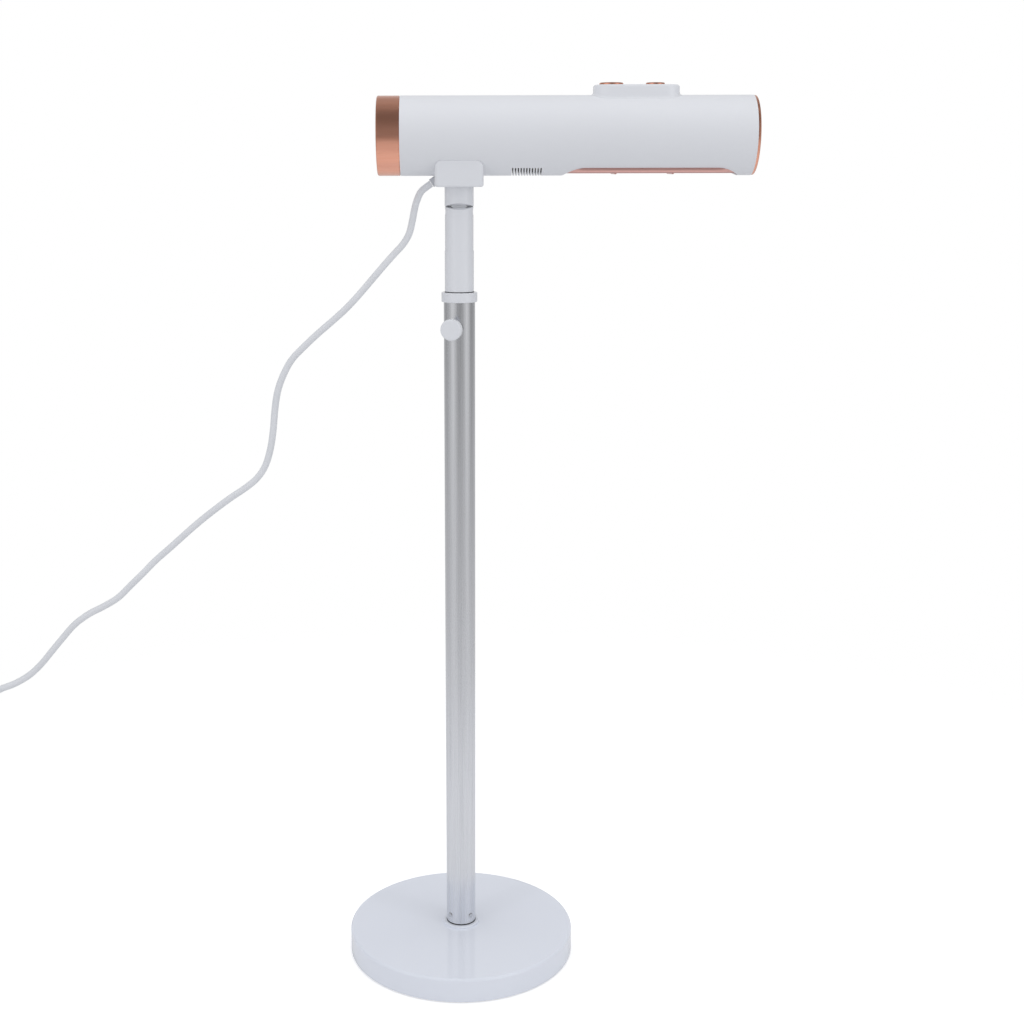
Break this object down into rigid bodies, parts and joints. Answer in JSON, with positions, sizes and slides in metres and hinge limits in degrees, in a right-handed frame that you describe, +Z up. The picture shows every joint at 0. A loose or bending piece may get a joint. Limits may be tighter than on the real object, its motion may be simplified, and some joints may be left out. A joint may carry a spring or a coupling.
{
  "type": "hands-free stand hair dryer",
  "caption": "White cylindrical hair dryer head with rose-gold trims, lying across the top of a telescopic pole on a round weighted base, with a clamp knob and a mains lead.",
  "frame": {"origin": "middle of the foot pad's underside, on the surface that the base stands on, on the pole's axis", "axes": "+Z up the pole; +X along the barrel, from the pole towards its closed end; -Y is the front, where the clamp knob is"},
  "size_m": [0.8201, 0.216, 0.8199],
  "materials": {
    "gloss_white": "gloss",
    "matt_white": "matt",
    "white_paint": "gloss",
    "rose_gold": "satin metallic",
    "brushed_aluminium": "brushed",
    "steel": "plain",
    "screw_steel": "bright",
    "iron": "cast",
    "foam": "matt",
    "black_plastic": "matt",
    "grommet_rubber": "matt",
    "mica": "matt",
    "board": "satin",
    "cord_white": "satin",
    "plug_white": "satin",
    "tie_black": "matt"
  },
  "bodies": {
    "stand": {"base_cover": "gloss_white", "base_weight": "iron", "base_plate": "steel", "base_pad": "foam", "base_screws": "steel", "pole_spigot": "steel", "spigot_bolt": "steel", "pole_bezel": "gloss_white", "pole_screws": "screw_steel", "outer_tube": "brushed_aluminium", "collar": "gloss_white", "clamp_nut": "steel"},
    "lift": {"glide_plug": "black_plastic"},
    "mast": {"inner_tube": "white_paint", "hinge_fitting": "gloss_white", "hinge_knuckle": "gloss_white", "hinge_screws": "steel", "hinge_pin": "screw_steel", "friction_washers": "steel", "power_cord": "cord_white", "cord_coil": "cord_white", "cord_tie": "tie_black", "plug_body": "plug_white", "plug_pins": "screw_steel"},
    "head": {"neck": "gloss_white", "saddle_block": "gloss_white", "neck_screw": "steel", "clamp_plate": "steel", "cord_grommet": "grommet_rubber", "inner_lead": "cord_white", "barrel": "matt_white", "intake_ring": "rose_gold", "intake_grille": "black_plastic", "intake_filter": "steel", "fan_housing": "black_plastic", "motor": "steel", "heater_frame": "mica", "heater_winding": "steel", "thermostat": "black_plastic", "thermal_fuse": "screw_steel", "heat_shield": "mica", "air_guide": "black_plastic", "outlet_frame": "rose_gold", "outlet_dividers": "rose_gold", "outlet_grille": "black_plastic", "end_cap": "matt_white", "end_trim": "rose_gold", "control_pod": "gloss_white", "power_bezel": "rose_gold", "mode_bezel": "rose_gold", "switch_board": "board", "pod_screws": "steel"},
    "fan": {"impeller": "black_plastic", "motor_shaft": "steel"},
    "power_key": {"power_button": "gloss_white"},
    "mode_key": {"mode_button": "gloss_white"},
    "clamp_slide": {"clamp_pad": "black_plastic"},
    "knob": {"clamp_knob": "gloss_white", "clamp_screw": "screw_steel"}
  },
  "joints": [
    {"name": "height", "type": "slide", "parent": "stand", "child": "lift", "axis": [0, 0, 1], "range_m": [-0.03, 0.3]},
    {"name": "swivel", "type": "hinge", "parent": "lift", "child": "mast", "pos_m": [0, 0, 0.2665], "axis": [0, 0, 1], "range_deg": [-180, 180]},
    {"name": "tilt", "type": "hinge", "parent": "mast", "child": "head", "pos_m": [0, 0, 0.7105], "axis": [1, 0, 0], "range_deg": [-12, 12]},
    {"name": "fan_spin", "type": "hinge", "parent": "head", "child": "fan", "pos_m": [-0.0439, 0, 0.7753], "axis": [1, 0, 0], "continuous": true},
    {"name": "power_press", "type": "slide", "parent": "head", "child": "power_key", "axis": [0, 0, -1], "range_m": [0, 0.0012], "stiffness_N_per_m": 800, "springref_m": -0.001},
    {"name": "mode_press", "type": "slide", "parent": "head", "child": "mode_key", "axis": [0, 0, -1], "range_m": [0, 0.0012], "stiffness_N_per_m": 800, "springref_m": -0.001},
    {"name": "clamp_travel", "type": "slide", "parent": "stand", "child": "clamp_slide", "axis": [-0.2588, -0.9659, 0], "range_m": [0, 0.0016]},
    {"name": "knob_turn", "type": "hinge", "parent": "clamp_slide", "child": "knob", "pos_m": [0, 0, 0.6092], "axis": [-0.2588, -0.9659, 0], "range_deg": [0, 720]}
  ],
  "couplings": [
    {"joint": "knob_turn", "follows": "clamp_travel", "rad_per_m": 7854}
  ]
}
